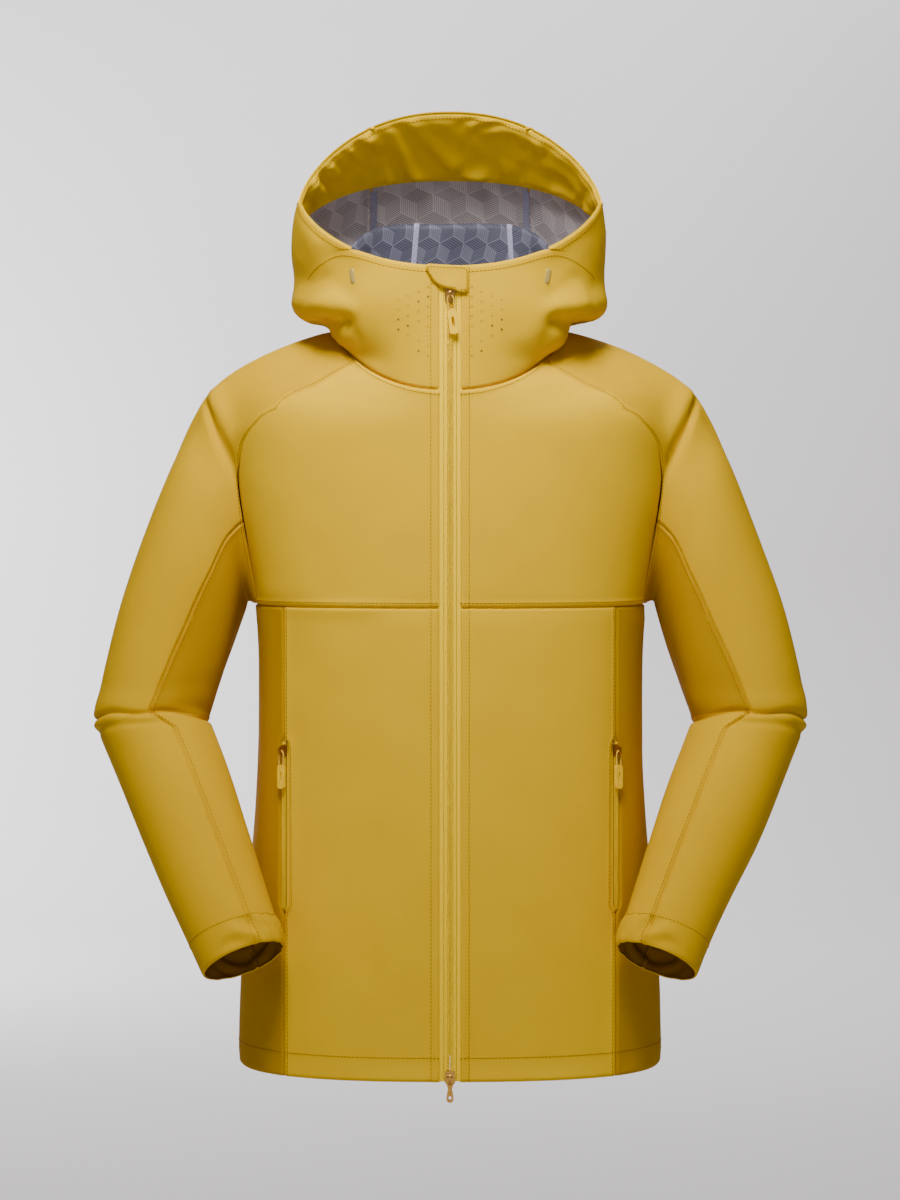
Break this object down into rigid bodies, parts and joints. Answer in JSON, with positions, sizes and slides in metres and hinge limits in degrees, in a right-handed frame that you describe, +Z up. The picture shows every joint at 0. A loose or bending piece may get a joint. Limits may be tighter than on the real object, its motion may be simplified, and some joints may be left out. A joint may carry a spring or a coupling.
{
  "type": "hooded shell jacket",
  "caption": "Hooded waterproof shell jacket with raglan shoulders, a full front zip, zipped hand pockets and elastic cuffs.",
  "frame": {"origin": "inside the neck, at the height where the shoulders meet the collar, where the wearer or a dress form holds the jacket up", "axes": "+Z up the body; the front faces -Y; +X is the wearer's left"},
  "size_m": [0.6974, 0.293, 0.951],
  "materials": {
    "shell_fabric": "matt laminated woven face, ochre yellow",
    "printed_lining": "smooth backer with a fine printed line pattern",
    "zip_tape": "ribbed woven tape, bright yellow",
    "zip_coil": "satin moulded coil",
    "slider_metal": "worn bronze",
    "moulded_pull": "soft-touch moulding",
    "pull_cord": "braided cord",
    "trim": "woven trim",
    "stiffener": "thin flexible strip, hidden",
    "elastic": "knitted elastic, hidden"
  },
  "bodies": {
    "torso": {"front_yoke_left": "shell_fabric", "front_yoke_right": "shell_fabric", "front_lower_left": "shell_fabric", "front_lower_right": "shell_fabric", "side_front_left": "shell_fabric", "side_front_right": "shell_fabric", "back_lower": "shell_fabric", "back_yoke": "shell_fabric", "shoulder_cap_left": "shell_fabric", "shoulder_cap_right": "shell_fabric", "collar_front_left": "shell_fabric", "collar_front_right": "shell_fabric", "collar_back": "shell_fabric", "neck_stand": "printed_lining", "neck_label": "trim", "hang_loop": "trim", "hem_facing": "shell_fabric", "hem_cord": "pull_cord", "zip_tape_left": "zip_tape", "zip_tape_right": "zip_tape", "zip_coil_left": "zip_coil", "zip_coil_right": "zip_coil", "storm_flap": "shell_fabric", "pocket_tape_left": "zip_tape", "pocket_tape_right": "zip_tape", "pocket_coil_left": "zip_coil", "pocket_coil_right": "zip_coil", "pocket_bag_left": "printed_lining", "pocket_bag_right": "printed_lining"},
    "hood": {"hood_side_left": "shell_fabric", "hood_side_right": "shell_fabric", "hood_center": "shell_fabric", "brim_stiffener": "stiffener", "brim_facing": "shell_fabric"},
    "upper_sleeve_left": {"sleeve_outer_left": "shell_fabric", "sleeve_under_left": "shell_fabric"},
    "forearm_left": {"forearm_outer_left": "shell_fabric", "forearm_under_left": "shell_fabric", "cuff_left": "shell_fabric", "cuff_elastic_left": "elastic"},
    "upper_sleeve_right": {"sleeve_outer_right": "shell_fabric", "sleeve_under_right": "shell_fabric"},
    "forearm_right": {"forearm_outer_right": "shell_fabric", "forearm_under_right": "shell_fabric", "cuff_right": "shell_fabric", "cuff_elastic_right": "elastic"},
    "main_slider": {"main_slider": "slider_metal"},
    "main_pull": {"main_pull_cord": "pull_cord", "main_pull_tab": "moulded_pull"},
    "bottom_slider": {"bottom_slider": "slider_metal"},
    "bottom_pull": {"bottom_pull": "slider_metal"},
    "pocket_slider_left": {"pocket_slider_left": "slider_metal"},
    "pocket_pull_left": {"pocket_pull_cord_left": "pull_cord", "pocket_pull_tab_left": "moulded_pull"},
    "pocket_slider_right": {"pocket_slider_right": "slider_metal"},
    "pocket_pull_right": {"pocket_pull_cord_right": "pull_cord", "pocket_pull_tab_right": "moulded_pull"},
    "zip_garage": {"zip_garage": "shell_fabric"}
  },
  "joints": [
    {"name": "hood_tilt", "type": "hinge", "parent": "torso", "child": "hood", "pos_m": [0, 0.105, 0.01], "axis": [-1, 0, 0], "range_deg": [0, 25]},
    {"name": "shoulder_raise_left", "type": "hinge", "parent": "torso", "child": "upper_sleeve_left", "pos_m": [0.2165, 0, -0.0275], "axis": [0, -1, 0], "range_deg": [0, 35]},
    {"name": "elbow_bend_left", "type": "hinge", "parent": "upper_sleeve_left", "child": "forearm_left", "pos_m": [0.2926, -0.072, -0.354], "axis": [-1, 0, 0], "range_deg": [0, 45]},
    {"name": "shoulder_raise_right", "type": "hinge", "parent": "torso", "child": "upper_sleeve_right", "pos_m": [-0.2165, 0, -0.0275], "axis": [0, 1, 0], "range_deg": [0, 35]},
    {"name": "elbow_bend_right", "type": "hinge", "parent": "upper_sleeve_right", "child": "forearm_right", "pos_m": [-0.2926, -0.072, -0.354], "axis": [-1, 0, 0], "range_deg": [0, 45]},
    {"name": "main_zip", "type": "slide", "parent": "torso", "child": "main_slider", "axis": [0, 0, -1], "range_m": [0, 0.6]},
    {"name": "main_pull_flip", "type": "hinge", "parent": "main_slider", "child": "main_pull", "pos_m": [0, -0.1306, 0.04], "axis": [-1, 0, 0], "range_deg": [0, 150]},
    {"name": "lower_zip", "type": "slide", "parent": "torso", "child": "bottom_slider", "axis": [0, 0, 1], "range_m": [0, 0.04]},
    {"name": "bottom_pull_flip", "type": "hinge", "parent": "bottom_slider", "child": "bottom_pull", "pos_m": [0, -0.1306, -0.697], "axis": [-1, 0, 0], "range_deg": [0, 120]},
    {"name": "pocket_zip_left", "type": "slide", "parent": "torso", "child": "pocket_slider_left", "axis": [0, -0.0474, -0.9989], "range_m": [0, 0.138]},
    {"name": "pocket_pull_flip_left", "type": "hinge", "parent": "pocket_slider_left", "child": "pocket_pull_left", "pos_m": [0.1612, -0.08504, -0.39096], "axis": [-0.745, -0.6663, 0.0316], "range_deg": [0, 120]},
    {"name": "pocket_zip_right", "type": "slide", "parent": "torso", "child": "pocket_slider_right", "axis": [0, -0.0474, -0.9989], "range_m": [0, 0.138]},
    {"name": "pocket_pull_flip_right", "type": "hinge", "parent": "pocket_slider_right", "child": "pocket_pull_right", "pos_m": [-0.1612, -0.08504, -0.39096], "axis": [-0.745, 0.6663, -0.0316], "range_deg": [0, 120]},
    {"name": "garage_flap", "type": "hinge", "parent": "torso", "child": "zip_garage", "pos_m": [0.0115, -0.128, 0.06], "axis": [0, 0, 1], "range_deg": [0, 120]}
  ]
}
